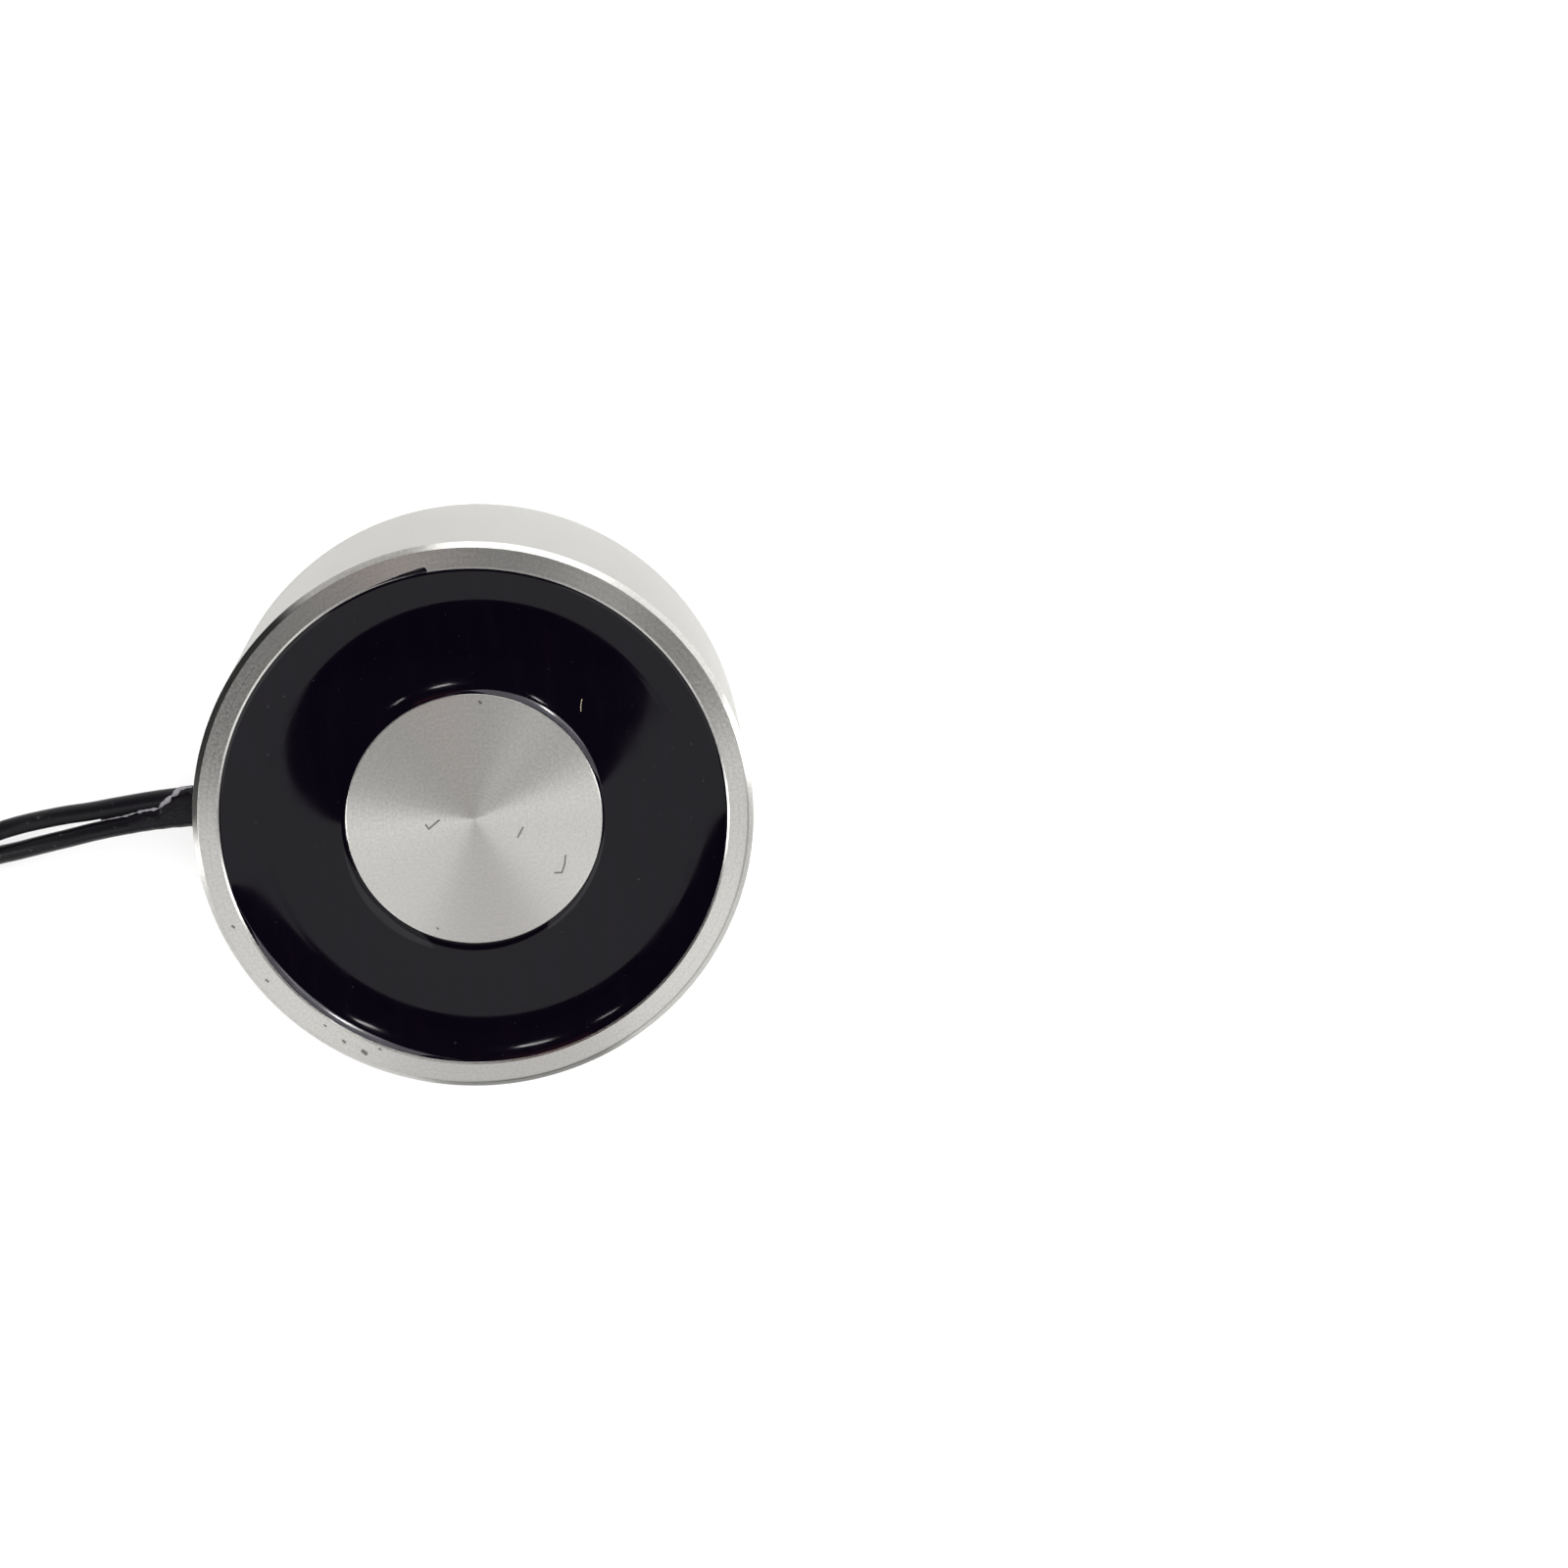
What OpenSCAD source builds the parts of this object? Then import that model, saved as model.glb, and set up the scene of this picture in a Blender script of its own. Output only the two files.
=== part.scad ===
// Holding electromagnet: a one-piece turned steel pot with a centre pole, a potted coil and two free leads.
// It stands on its mounting face at z = 0 with the holding face up, and the leads leave towards -X.

/* [Body] */
// Outside diameter of the steel body
body_d = 40; // [38:0.5:50]
// Height from the mounting face to the holding face
body_h = 20; // [18:0.5:30]
// Wall of the rim around the coil
rim_wall = 1.9; // [1.6:0.1:2.4]
// Radial width of the coil space between the rim and the centre pole
coil_space = 8.95; // [8:0.05:10]
// Thickness of the base under the coil
base_t = 6; // [5:0.5:8]
// Chamfer of the rim at the holding face
front_chamfer = 0.4; // [0.1:0.1:0.8]
// Chamfer around the mounting face
back_chamfer = 0.5; // [0.1:0.1:1]

/* [Mounting thread] */
// Nominal diameter of the thread
thread_d = 5; // [4:0.5:6]
// Depth of the full thread below the mounting face
thread_depth = 9; // [6:0.5:12]
// Height of the thread's ridges, which the drilled hole below it stands in by
thread_ridge = 0.4; // [0.3:0.05:0.6]
// Length of plain drilled hole past the thread
drill_runout = 2; // [1:0.5:3]
// Point angle of the drill
drill_point = 118; // [90:1:140]
// Width of the countersink at the thread's mouth
countersink_w = 0.35; // [0.2:0.05:0.8]

/* [Coil] */
// Clearance of the bobbin on the pole
bobbin_clearance = 0.2; // [0.1:0.05:0.4]
// Wall of the bobbin's barrel
bobbin_wall = 1; // [0.6:0.1:1.4]
// Thickness of the bobbin's flanges
flange_t = 1; // [0.8:0.1:1.5]
// Radial room between the bobbin's flanges and the rim, where the leads run
lead_channel = 2.2; // [2:0.1:2.8]
// Depth of the winding's surface below the edge of the flanges
winding_inset = 0.7; // [0.4:0.1:1.2]
// Thickness of the insulating tape around the winding
tape_t = 0.2; // [0.1:0.05:0.3]
// Diameter of the enamelled winding wire
wire_d = 0.35; // [0.2:0.05:0.5]
// Width of the slot in the lower flange for the start of the winding
slot_w = 0.8; // [0.6:0.1:1.2]

/* [Potting] */
// Depth of potting between the bobbin and the holding face
potting_cover = 3; // [2:0.1:4]
// How far the potting lies below the holding face at the pole
pole_recess = 0.1; // [0:0.05:0.3]
// How far the potting lies below the holding face at the rim
rim_recess = 0.15; // [0:0.05:0.3]
// Depth of the lowest ring of the dished potting below the holding face
dish_depth = 0.6; // [0.4:0.05:1]
// Distance from the rim's bore to the lowest ring
dish_offset = 2.8; // [2:0.1:4.5]

/* [Leads] */
// Outside diameter of a lead
lead_d = 1.4; // [1.2:0.05:1.6]
// Gap between the two leads in their hole
lead_gap = 0.15; // [0.12:0.01:0.3]
// Room around the pair of leads in the hole
hole_clearance = 0.65; // [0.6:0.05:0.9]
// Height of the hole's lower edge above the floor of the coil space
hole_rise = 0.1; // [0:0.1:1]
// Radius of each lead's bend behind the rim
bend_r = 2.8; // [2:0.1:3]
// Angle that a lead runs along the channel before it ends
channel_angle = 16; // [12:1:24]
// Room around a lead in its bend
bend_room = 0.05; // [0.03:0.01:0.1]
// Diameter of the stripped core
core_d = 0.6; // [0.4:0.05:0.8]
// Length of the stripped and tinned ends
strip_l = 5; // [3:0.5:5]

/* [Joints of leads and winding] */
// Diameter of a solder joint
joint_d = 1.1; // [0.8:0.05:1.2]
// Angle that a solder joint takes up in the channel
joint_angle = 14; // [10:1:20]
// Wall of the insulating sleeve over a joint
sleeve_wall = 0.25; // [0.15:0.05:0.3]
// Angle by which the sleeve covers the lead and the tail
sleeve_lap = 5; // [3:1:7]
// Angle from the sleeve to where the tail turns in to the winding
tail_angle = 6; // [5:1:10]
// Room around a tail in the potting and the tape
tail_room = 0.02; // [0.01:0.01:0.05]

/* [Lead exit seal] */
// How far the seal reaches along the leads
seal_reach = 5; // [3:0.5:6]
// Step from the edge of the hole in to the foot of the flare
flare_step = 0.2; // [0.1:0.05:0.3]
// Thickness of the seal over the leads
seal_skin = 0.1; // [0.05:0.05:0.4]

/* [Coiled length of the leads] */
// Diameter across the middle of the turns
turns_d = 16; // [14:0.2:18]
// Turns of each lead
turns = 3.8; // [2:0.1:4]
// Gap between the two layers
layer_gap = 0.05; // [0.02:0.01:0.1]
// Angle round the coil where the leads join it
join_angle = 285; // [275:1:295]
// Length of the straight stretch by which each lead joins the coil
join_l = 6; // [5.5:0.5:8]
// Slope of that stretch
join_slope = 15; // [5:1:20]
// Thickness of the tie
tie_t = 0.3; // [0.2:0.05:0.6]
// Angle of the coil that the tie covers
tie_angle = 14; // [8:1:24]
// Angle round the coil where the tie sits
tie_place = 220; // [190:5:250]

/* [Hidden] */
$fn = 96;

// Radii of the body, measured from its axis
body_r = body_d / 2;
bore_r = body_r - rim_wall;
pole_r = bore_r - coil_space;

// The blind hole: thread, drilled runout and drill point
thread_r = thread_d / 2;
drill_r = thread_r - thread_ridge;
drill_end = thread_depth + drill_runout;
drill_tip = drill_end + drill_r / tan(drill_point / 2);

// The bobbin stands on the floor of the coil space
bobbin_r = pole_r + bobbin_clearance;
barrel_r = bobbin_r + bobbin_wall;
flange_r = bore_r - lead_channel;
bobbin_top = body_h - potting_cover;
winding_low = base_t + flange_t;
winding_high = bobbin_top - flange_t;
winding_r = flange_r - winding_inset;
tape_r = winding_r + tape_t;

// The leads pass the rim side by side and bend away from each other into the channel
lead_r = lead_d / 2;
lead_pitch = lead_d + lead_gap;
hole_r = lead_d + lead_gap / 2 + hole_clearance;
lead_z = base_t + hole_rise + hole_r;
channel_r = bore_r - lead_channel / 2;
bend_y = lead_pitch / 2 + bend_r;
bend_x = sqrt(pow(channel_r + bend_r, 2) - pow(bend_y, 2));
bend_lean = atan(bend_y / bend_x);
bend_lap = 1;

// Angles along the channel, counted from the hole
lead_end = bend_lean + channel_angle;
joint_end = lead_end + joint_angle;
sleeve_start = lead_end - sleeve_lap;
sleeve_end = joint_end + sleeve_lap;
tail_end = sleeve_end + tail_angle;

// The start of the winding leaves through the slot in the lower flange, along the slot's middle
wire_r = wire_d / 2;
tail_bend = flange_t / 2;
slot_z = base_t + flange_t / 2;
start_r = barrel_r + slot_w / 2;

// The seal follows the leads outside the rim
seal_half_width = lead_pitch / 2 + lead_r + seal_skin;
seal_half_height = lead_r + seal_skin;
flare_r = hole_r - flare_step;
flare_stretch = 1.2;
flare_sink = 0.25;
flare_l = flare_stretch * (flare_r + seal_skin - seal_half_height);

// Both leads are wound together in two layers, on the tie that holds them
turns_band = turns * lead_d;
coil_in = turns_d / 2 - turns_band / 2 - lead_r;
coil_w = turns_band + lead_d;
layer_rise = lead_d + layer_gap;
coil_h = lead_d + layer_rise;
coil_corner = lead_r;
coil_centre = [-51, 3.6, 0];
tie_corner = coil_corner + tie_t;

// The tinned ends point into the middle of the coil, from these angles round it
tinned_lean = 41;
tinned_place = 135;
tinned_gap = 30;

// Points that the leads follow from the seal to the coil
route_a = [[-27, 0.3, 7.75], [-29, 0, 7.35], [-31, -0.25, 6.85], [-33, -0.6, 6.3], [-35, -1.05, 5.7],
  [-37, -1.65, 5.3], [-39, -2.75, 5.2], [-40.5, -3.9, 4.95]];
route_b = [[-27, -1.25, 7.7], [-29, -1.6, 7.3], [-31, -2.05, 6.8], [-33, -2.5, 6.2], [-35, -3, 5.5],
  [-37, -3.45, 4.75], [-39, -4, 3.9], [-40.5, -4.55, 3.15]];

// The swept tubes of the leads lie just inside the round that they take up in the seal and the potting
lead_sides = 12;
tail_sides = 8;
tube_r = 0.98 * lead_r;
tube_run_in = 1;
square_start = 0.2;
channel_steps = 6;
bend_steps = 6;
turn_steps = 4;

// Unit vector along v
function unit(v) = v / norm(v);

// Direction of a route at its point i
function heading(route, i) = unit(route[min(i + 1, len(route) - 1)] - route[max(i - 1, 0)]);

// Ring of points round a route's point i, square to the route
function ring(route, i, r, sides) =
  let (along = heading(route, i), side = unit(cross([0, 0, 1], along)), up = cross(along, side))
  [for (k = [0 : sides - 1])
    route[i] + r * (cos(360 * k / sides) * side + sin(360 * k / sides) * up)];

// Point in the channel at an angle from the hole and a distance from the axis; side is 1 for lead a and
// -1 for lead b
function channel_point(side, angle, r) = [-r * cos(angle), side * r * sin(angle), lead_z];

// Direction along the channel, away from the hole
function channel_way(side, angle) = [sin(angle), side * cos(angle), 0];

// Point of a lead's bend behind the rim, at an angle about the bend's centre
function bend_point(side, angle) =
  [-bend_x + bend_r * cos(angle), side * (bend_y + bend_r * sin(angle)), lead_z];

// Where a lead leaves the seal
function seal_end(side) = [-body_r - seal_reach, side * lead_pitch / 2, lead_z];

// Where a lead joins the coil: layer 0 lies on the tie and layer 1 on layer 0
function join_point(layer) =
  let (r = turns_d / 2 + turns_band / 2)
  coil_centre + [r * cos(join_angle), r * sin(join_angle), tie_t + lead_r + layer * layer_rise];
join_way = [-sin(join_angle) * cos(join_slope), cos(join_angle) * cos(join_slope), sin(join_slope)];

// Whole route of a lead: channel, bend, seal, free stretch and the run in to the coil
function lead_route(side, points, layer) = concat(
  [channel_point(side, lead_end, channel_r),
    channel_point(side, lead_end, channel_r) - square_start * channel_way(side, lead_end)],
  [for (i = [1 : channel_steps])
    channel_point(side, lead_end - channel_angle * i / channel_steps, channel_r)],
  [for (i = [1 : bend_steps]) bend_point(side, -bend_lean - (90 - bend_lean) * i / bend_steps)],
  [seal_end(side)],
  points,
  [join_point(layer) + (join_l + tube_run_in) * join_way, join_point(layer) + join_l * join_way]);

// Run of a tail along the channel from its joint, coming down to a given height after the sleeve
function tail_run(side, low) = concat(
  [channel_point(side, joint_end, channel_r),
    channel_point(side, joint_end, channel_r) + square_start * channel_way(side, joint_end)],
  [for (i = [1 : channel_steps])
    let (angle = joint_end + (tail_end - joint_end) * i / channel_steps,
      share = max(0, angle - sleeve_end) / tail_angle)
    channel_point(side, angle, channel_r) - [0, 0, (lead_z - low) * pow(share, 2) * (3 - 2 * share)]]);

// Point at the turn of a tail: out is measured from the body's axis, and along past the end of the tail's run
function tail_point(side, out, along, z) =
  [-out * cos(tail_end) + along * sin(tail_end), side * (out * sin(tail_end) + along * cos(tail_end)), z];

// Turn of a tail from the channel towards the axis
function tail_turn(side, z) = [for (i = [1 : turn_steps])
  let (angle = 90 * i / turn_steps)
  tail_point(side, channel_r - tail_bend * (1 - cos(angle)), tail_bend * sin(angle), z)];

// The start tail comes down to the slot and ends under the first turns; the finish tail ends on the last ones
start_route = concat(tail_run(1, slot_z), tail_turn(1, slot_z),
  [tail_point(1, start_r + flange_t, tail_bend, slot_z),
    tail_point(1, start_r, tail_bend, winding_low - wire_r)]);
finish_route = concat(tail_run(-1, lead_z), tail_turn(-1, lead_z),
  [tail_point(-1, sqrt(pow(winding_r, 2) - pow(tail_bend - wire_r, 2)), tail_bend, lead_z)]);

// Tube of a given radius and number of sides along a route
module tube(route, r, sides) {
  n = len(route);
  points = [for (i = [0 : n - 1]) each ring(route, i, r, sides)];
  walls = [for (i = [0 : n - 2], k = [0 : sides - 1])
    let (a = i * sides, b = a + sides, j = (k + 1) % sides) [a + k, b + k, b + j, a + j]];
  near = [for (k = [0 : sides - 1]) k];
  far = [for (k = [sides - 1 : -1 : 0]) (n - 1) * sides + k];
  polyhedron(points = points, faces = concat([near, far], walls), convexity = 6);
}

// Straight round bar between two points
module bar(a, b, d) {
  run = b - a;
  translate(a)
    rotate([0, acos(run.z / norm(run)), atan2(run.y, run.x)])
      cylinder(d = d, h = norm(run));
}

// Round bar bent about the body's axis, between two angles along the channel
module channel_bar(side, from, to, d) {
  translate([0, 0, lead_z])
    rotate([0, 0, side > 0 ? 180 - to : 180 + from])
      rotate_extrude(angle = to - from)
        translate([channel_r, 0])
          circle(d = d);
}

// Rectangle with round corners, its lower left corner at the origin
module round_rectangle(w, h, r) {
  translate([r, 0]) square([w - 2 * r, h]);
  translate([0, r]) square([w, h - 2 * r]);
  for (x = [r, w - r], y = [r, h - r]) translate([x, y]) circle(r = r);
}

// Hole through the rim for the leads
module lead_hole() {
  translate([-bore_r + rim_wall, 0, lead_z])
    rotate([0, -90, 0])
      cylinder(r = hole_r, h = 3 * rim_wall);
}

// Slot through the lower flange for the start of the winding
module start_slot() {
  rotate([0, 0, 180 - tail_end])
    translate([barrel_r, -tail_bend - slot_w / 2, base_t])
      cube([flange_r - barrel_r + slot_w, slot_w, flange_t]);
}

// The round that a lead takes up from its end in the channel to just past the end of the seal
module lead_inside(side) {
  channel_bar(side, bend_lean - bend_lap, lead_end, lead_d);
  translate([-bend_x, side * bend_y, lead_z])
    rotate([0, 0, side > 0 ? -90 : bend_lean])
      rotate_extrude(angle = 90 - bend_lean)
        translate([bend_r, 0])
          circle(d = lead_d + 2 * bend_room);
  bar([-bend_x + bend_r * sin(bend_lap), side * lead_pitch / 2, lead_z],
    seal_end(side) - [bend_lap, 0, 0], lead_d);
}

// Outline of half the seal outside the rim: a flare, rooted in the plug, that narrows to a straight sleeve
module seal_outline(half, root) {
  rise = flare_l + flare_sink;
  drop = root - half;
  sweep = (pow(rise, 2) + pow(drop, 2)) / (2 * drop);
  translate([0, -flare_sink]) square([half, seal_reach + flare_sink]);
  difference() {
    translate([0, -flare_sink]) square([root, rise]);
    translate([half + sweep, flare_l]) circle(r = sweep);
  }
}

// Section of the coiled leads, as it is turned about the coil's axis
module coil_section(grow, corner) {
  translate([coil_in - grow, tie_t - grow]) round_rectangle(coil_w + 2 * grow, coil_h + 2 * grow, corner);
}

module magnet_body() color("silver") {
  difference() {
    rotate_extrude()
      polygon([[thread_r + countersink_w, 0], [body_r - back_chamfer, 0], [body_r, back_chamfer],
        [body_r, body_h - front_chamfer], [body_r - front_chamfer, body_h], [bore_r, body_h],
        [bore_r, base_t], [pole_r, base_t], [pole_r, body_h], [0, body_h], [0, drill_tip],
        [drill_r, drill_end], [drill_r, thread_depth], [thread_r, thread_depth], [thread_r, countersink_w]]);
    lead_hole();
  }
}

module coil_bobbin() color("ivory") {
  difference() {
    rotate_extrude()
      polygon([[bobbin_r, base_t], [flange_r, base_t], [flange_r, winding_low], [barrel_r, winding_low],
        [barrel_r, winding_high], [flange_r, winding_high], [flange_r, bobbin_top], [bobbin_r, bobbin_top]]);
    start_slot();
  }
}

module coil_winding() color("peru") {
  rotate_extrude()
    translate([barrel_r, winding_low])
      square([winding_r - barrel_r, winding_high - winding_low]);
}

module coil_tape() color("goldenrod") {
  difference() {
    rotate_extrude()
      translate([winding_r, winding_low])
        square([tape_t, winding_high - winding_low]);
    tube(finish_route, wire_r + tail_room, tail_sides);
  }
}

module coil_start_tail() color("peru") tube(start_route, wire_r, tail_sides);
module coil_finish_tail() color("peru") tube(finish_route, wire_r, tail_sides);

module solder_joint(side) color("lightsteelblue") channel_bar(side, lead_end, joint_end, joint_d);

module joint_sleeve(side) color("dimgray") {
  difference() {
    channel_bar(side, sleeve_start, sleeve_end, lead_d + 2 * sleeve_wall);
    channel_bar(side, sleeve_start - sleeve_lap, sleeve_end + sleeve_lap, lead_d);
  }
}

module solder_joint_start() solder_joint(1);
module solder_joint_finish() solder_joint(-1);
module joint_sleeve_start() joint_sleeve(1);
module joint_sleeve_finish() joint_sleeve(-1);

// Section of the potting: the coil space less bobbin, winding and tape, with a top dished by two arcs
module potting_section() {
  low_r = bore_r - dish_offset;
  low_z = body_h - dish_depth;
  pole_sweep = (pow(low_r - pole_r, 2) + pow(dish_depth - pole_recess, 2)) / (2 * (dish_depth - pole_recess));
  rim_sweep = (pow(dish_offset, 2) + pow(dish_depth - rim_recess, 2)) / (2 * (dish_depth - rim_recess));
  difference() {
    translate([pole_r, bobbin_top]) square([low_r - pole_r, body_h - bobbin_top]);
    translate([low_r, low_z + pole_sweep]) circle(r = pole_sweep);
  }
  difference() {
    translate([low_r, base_t]) square([dish_offset, body_h - base_t]);
    translate([low_r, low_z + rim_sweep]) circle(r = rim_sweep);
    translate([0, base_t]) square([flange_r, flange_t]);
    translate([0, winding_low]) square([tape_r, winding_high - winding_low]);
    translate([0, winding_high]) square([flange_r, flange_t]);
  }
}

module potting_compound() color("black") {
  difference() {
    rotate_extrude() potting_section();
    for (side = [1, -1]) {
      lead_inside(side);
      channel_bar(side, sleeve_start, sleeve_end, lead_d + 2 * sleeve_wall);
    }
    for (route = [start_route, finish_route]) tube(route, wire_r + tail_room, tail_sides);
  }
}

module lead_exit_seal() color("#1a1a1c") {
  difference() {
    union() {
      intersection() {
        lead_hole();
        cylinder(r = body_r, h = body_h);
      }
      translate([-body_r, 0, lead_z])
        rotate([0, -90, 0])
          intersection() {
            rotate_extrude() seal_outline(seal_half_width, flare_r);
            rotate([90, 0, 0])
              linear_extrude(height = 3 * flare_r, center = true)
                for (turn = [0, 1]) mirror([turn, 0]) seal_outline(seal_half_height, flare_r + seal_skin);
          }
    }
    cylinder(r = bore_r, h = body_h);
    for (side = [1, -1]) lead_inside(side);
  }
}

module lead_a() color("#222224") tube(lead_route(1, route_a, 1), tube_r, lead_sides);
module lead_b() color("#222224") tube(lead_route(-1, route_b, 0), tube_r, lead_sides);

module lead_coil() color("#222224") {
  translate(coil_centre) rotate_extrude() coil_section(0, coil_corner);
  for (layer = [0, 1]) bar(join_point(layer), join_point(layer) + join_l * join_way, lead_d);
}

module lead_tie() color("whitesmoke") {
  translate(coil_centre)
    rotate([0, 0, tie_place - tie_angle / 2])
      rotate_extrude(angle = tie_angle)
        difference() {
          coil_section(tie_t, tie_corner);
          coil_section(0, coil_corner);
        }
}

// Tinned end of a lead, from the inner face of the coil towards its middle
module tinned_end(layer) color("gainsboro") {
  turn = tinned_place + layer * tinned_gap;
  foot = coil_centre + [coil_in * cos(turn), coil_in * sin(turn), tie_t + lead_r + layer * layer_rise];
  way = [-sin(tinned_lean) * cos(turn) + cos(tinned_lean) * sin(turn),
    -sin(tinned_lean) * sin(turn) - cos(tinned_lean) * cos(turn), 0];
  difference() {
    bar(foot - core_d * way, foot + strip_l * way, core_d);
    translate(coil_centre) rotate_extrude() coil_section(0, coil_corner);
  }
}

module lead_a_tinned_end() tinned_end(1);
module lead_b_tinned_end() tinned_end(0);

magnet_body();
coil_bobbin();
coil_winding();
coil_tape();
coil_start_tail();
coil_finish_tail();
solder_joint_start();
solder_joint_finish();
joint_sleeve_start();
joint_sleeve_finish();
potting_compound();
lead_exit_seal();
lead_a();
lead_b();
lead_coil();
lead_tie();
lead_a_tinned_end();
lead_b_tinned_end();
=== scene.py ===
"""Holding electromagnet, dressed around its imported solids.

The turned steel pot, the potted face, the torn seal and the two coiled leads are fine meshes in the
place of their solids. Lengths are metres. The magnet stands on its mounting face at z = 0 with the
holding face up, and its leads leave towards -X.
"""

import bmesh
import bpy
import numpy as np
from bpy.props import FloatProperty, FloatVectorProperty, IntProperty, PointerProperty
from mathutils import Matrix, Vector


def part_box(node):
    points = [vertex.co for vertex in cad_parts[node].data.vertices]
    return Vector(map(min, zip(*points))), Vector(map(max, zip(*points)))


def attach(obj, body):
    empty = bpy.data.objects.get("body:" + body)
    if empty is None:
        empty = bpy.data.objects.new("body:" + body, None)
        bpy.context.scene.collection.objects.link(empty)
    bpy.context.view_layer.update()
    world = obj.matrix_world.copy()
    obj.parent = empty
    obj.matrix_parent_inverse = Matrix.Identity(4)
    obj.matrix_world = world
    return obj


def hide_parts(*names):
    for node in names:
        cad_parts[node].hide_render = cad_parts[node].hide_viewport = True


bl_info = {
    "name": "Holding electromagnet",
    "version": (1, 0, 0),
    "blender": (4, 5, 0),
    "location": "3D View > Sidebar > Magnet",
    "description": "Draws a pot electromagnet: turned steel, glossy potting, torn seal, coiled leads",
    "category": "Object",
}

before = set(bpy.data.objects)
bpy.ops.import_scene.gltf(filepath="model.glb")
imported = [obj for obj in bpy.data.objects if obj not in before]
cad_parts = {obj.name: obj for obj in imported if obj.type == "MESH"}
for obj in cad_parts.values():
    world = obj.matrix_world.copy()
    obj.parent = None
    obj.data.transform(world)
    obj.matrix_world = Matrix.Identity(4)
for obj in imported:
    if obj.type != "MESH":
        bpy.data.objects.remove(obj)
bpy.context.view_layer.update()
BODY_LOW, BODY_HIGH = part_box("magnet_body")
TAPE_LOW, TAPE_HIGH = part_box("coil_tape")
BOBBIN_LOW, BOBBIN_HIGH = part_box("coil_bobbin")
MM = 0.001
SMOOTH_ANGLE = np.radians(30)
MERGE_DISTANCE = 0.0002 * MM


def length(label, description, millimetres):
    """Property for a length, given in millimetres and kept in metres."""
    return FloatProperty(name=label, description=description, default=millimetres * MM,
                         precision=5, unit="LENGTH")


def angle(label, description, degrees):
    """Property for an angle, given in degrees and kept in radians."""
    return FloatProperty(name=label, description=description, default=float(np.radians(degrees)),
                         subtype="ANGLE")


def amount(label, description, value):
    """Property for a plain number."""
    return FloatProperty(name=label, description=description, default=value, precision=4)


def triple(label, description, value, subtype="DIRECTION"):
    """Property for three numbers."""
    return FloatVectorProperty(name=label, description=description, default=value, subtype=subtype)


def colour(label, description, value):
    """Property for a colour."""
    return triple(label, description, value, "COLOR")


class BodySizes(bpy.types.PropertyGroup):
    """Sizes of the turned steel pot."""

    rim_wall: length("Rim wall", "Wall of the rim around the coil", 1.9)
    coil_space: length("Coil space", "Radial width between the rim and the pole", 8.95)
    base: length("Base", "Thickness of the base under the coil", 6.0)
    front_chamfer: length("Front chamfer", "Chamfer of the rim at the holding face", 0.4)
    back_chamfer: length("Back chamfer", "Chamfer around the mounting face", 0.5)
    edge_round: length("Edge round", "Round left on a turned edge", 0.08)
    bore_break: length("Bore break", "Width of the broken edge between the bore and the rim's face", 0.15)
    bore_drop: length("Bore drop", "Depth of that broken edge", 0.085)
    hole_r: length("Lead hole radius", "Radius of the hole for the leads", 2.125)
    hole_z: length("Lead hole height", "Height of the hole's axis", 8.225)
    thread_r: length("Thread radius", "Nominal radius of the mounting thread", 2.5)
    thread_ridge: length("Thread ridge", "Height of the thread's ridges", 0.4)
    thread_pitch: length("Thread pitch", "Rise of the thread in one turn", 0.8)
    thread_depth: length("Thread depth", "Depth of the thread", 9.0)
    drill_end: length("Drill end", "Depth of the drilled hole's wall", 11.0)
    drill_tip: length("Drill tip", "Depth of the drill's point", 12.262)
    countersink: length("Countersink", "Width of the countersink at the thread's mouth", 0.35)
    columns: IntProperty(name="Columns", description="Steps around the body", default=384)


class PottingSizes(bpy.types.PropertyGroup):
    """Sizes of the potted face."""

    pole_recess: length("Recess at the pole", "Depth of the potting at the pole's edge", 0.04)
    rim_recess: length("Recess at the rim", "Depth of the potting at the rim's edge", 0.1)
    dish_depth: length("Dish depth", "Depth of the lowest ring", 0.6)
    dish_offset: length("Dish offset", "Distance from the bore to the lowest ring", 3.3)
    dish_lean: amount("Dish lean", "How much shallower and narrower the dish is on one side", 0.22)
    lean_angle: angle("Lean angle", "Where the dish is shallowest", 50)
    pole_climb: length("Climb at the pole", "How far the potting curves up towards the pole", 0.15)
    pole_run: length("Run at the pole", "Distance over which that curve fades", 0.9)
    creep: length("Creep", "Height of the thin lip that wets the steel", 0.05)
    creep_run: length("Creep run", "Distance over which that lip fades", 0.16)
    film_width: length("Film width", "Width of the film that wets the pole and the rim", 0.4)
    film_gap: length("Film gap", "Bare line between that film and the steel", 0.05)
    pole_film_start: angle("Pole film start", "Where the film along the pole begins", 98)
    pole_film_end: angle("Pole film end", "Where the film along the pole ends", 2)
    pole_film_drop: length("Pole film drop", "Depth of that film's edge below the pole's face", 0.01)
    rim_film_start: angle("Rim film start", "Where the film along the rim begins", 196)
    rim_film_end: angle("Rim film end", "Where the film along the rim ends", 262)
    rim_film_drop: length("Rim film drop", "Depth of that film's edge below the rim's face", 0.06)
    smear_start: angle("Smear start", "Where the smear on the rim begins", 110)
    smear_end: angle("Smear end", "Where the smear on the rim ends", 95.4)
    smear_width: length("Smear width", "Width of the smear at its end", 0.36)
    smear_height: length("Smear height", "Thickness of the smear", 0.02)
    fibre_r: length("Fibre radius", "Radius of the stray fibre", 0.025)


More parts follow.
